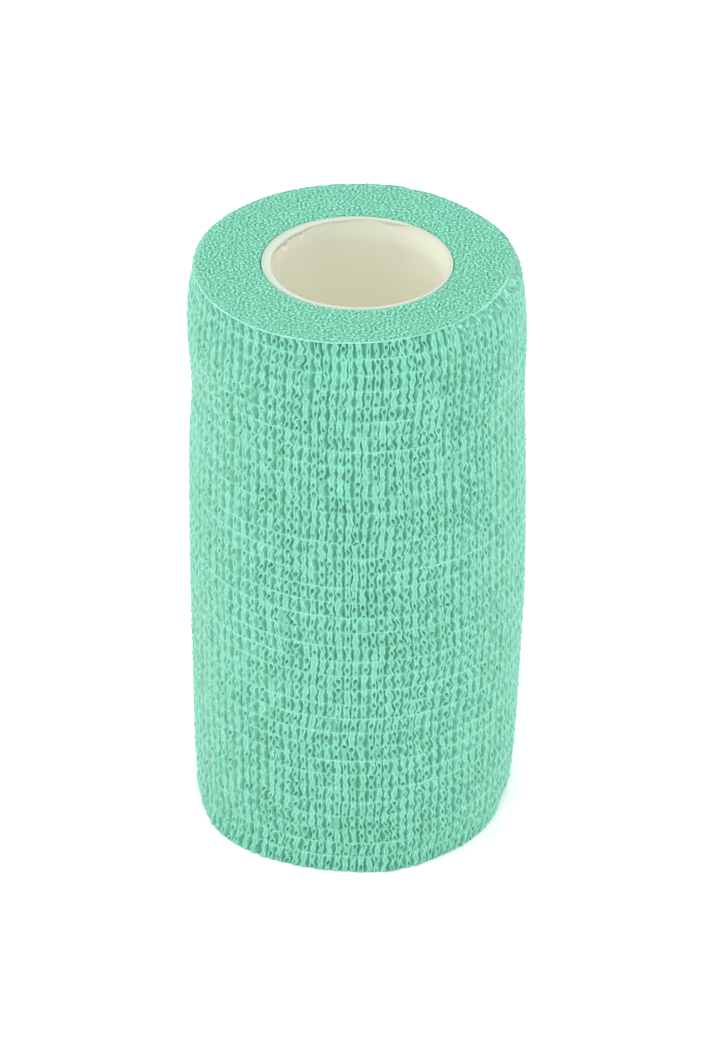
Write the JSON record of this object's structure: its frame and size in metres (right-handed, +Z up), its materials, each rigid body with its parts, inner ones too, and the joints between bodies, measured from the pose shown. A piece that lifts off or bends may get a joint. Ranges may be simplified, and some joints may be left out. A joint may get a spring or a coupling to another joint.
{
  "type": "cohesive bandage roll",
  "caption": "Roll of mint-green crepe cohesive bandage wound on a thin plastic core tube, standing on its end.",
  "frame": {"origin": "centre of the roll's base, on the axis of the core tube, where the roll stands on a surface", "axes": "+Z up along the roll's axis; -Y is the side the picture shows; the bandage's cut end is on the +Y side"},
  "size_m": [0.0554, 0.0554, 0.1],
  "materials": {
    "crepe_cloth": "matt mint-green nonwoven, gathered into crepe by elastic threads that run round the roll",
    "core_plastic": "satin off-white extruded plastic with sawn ends"
  },
  "bodies": {
    "root": {"bandage_roll": "crepe_cloth", "core_tube": "core_plastic"}
  },
  "joints": []
}
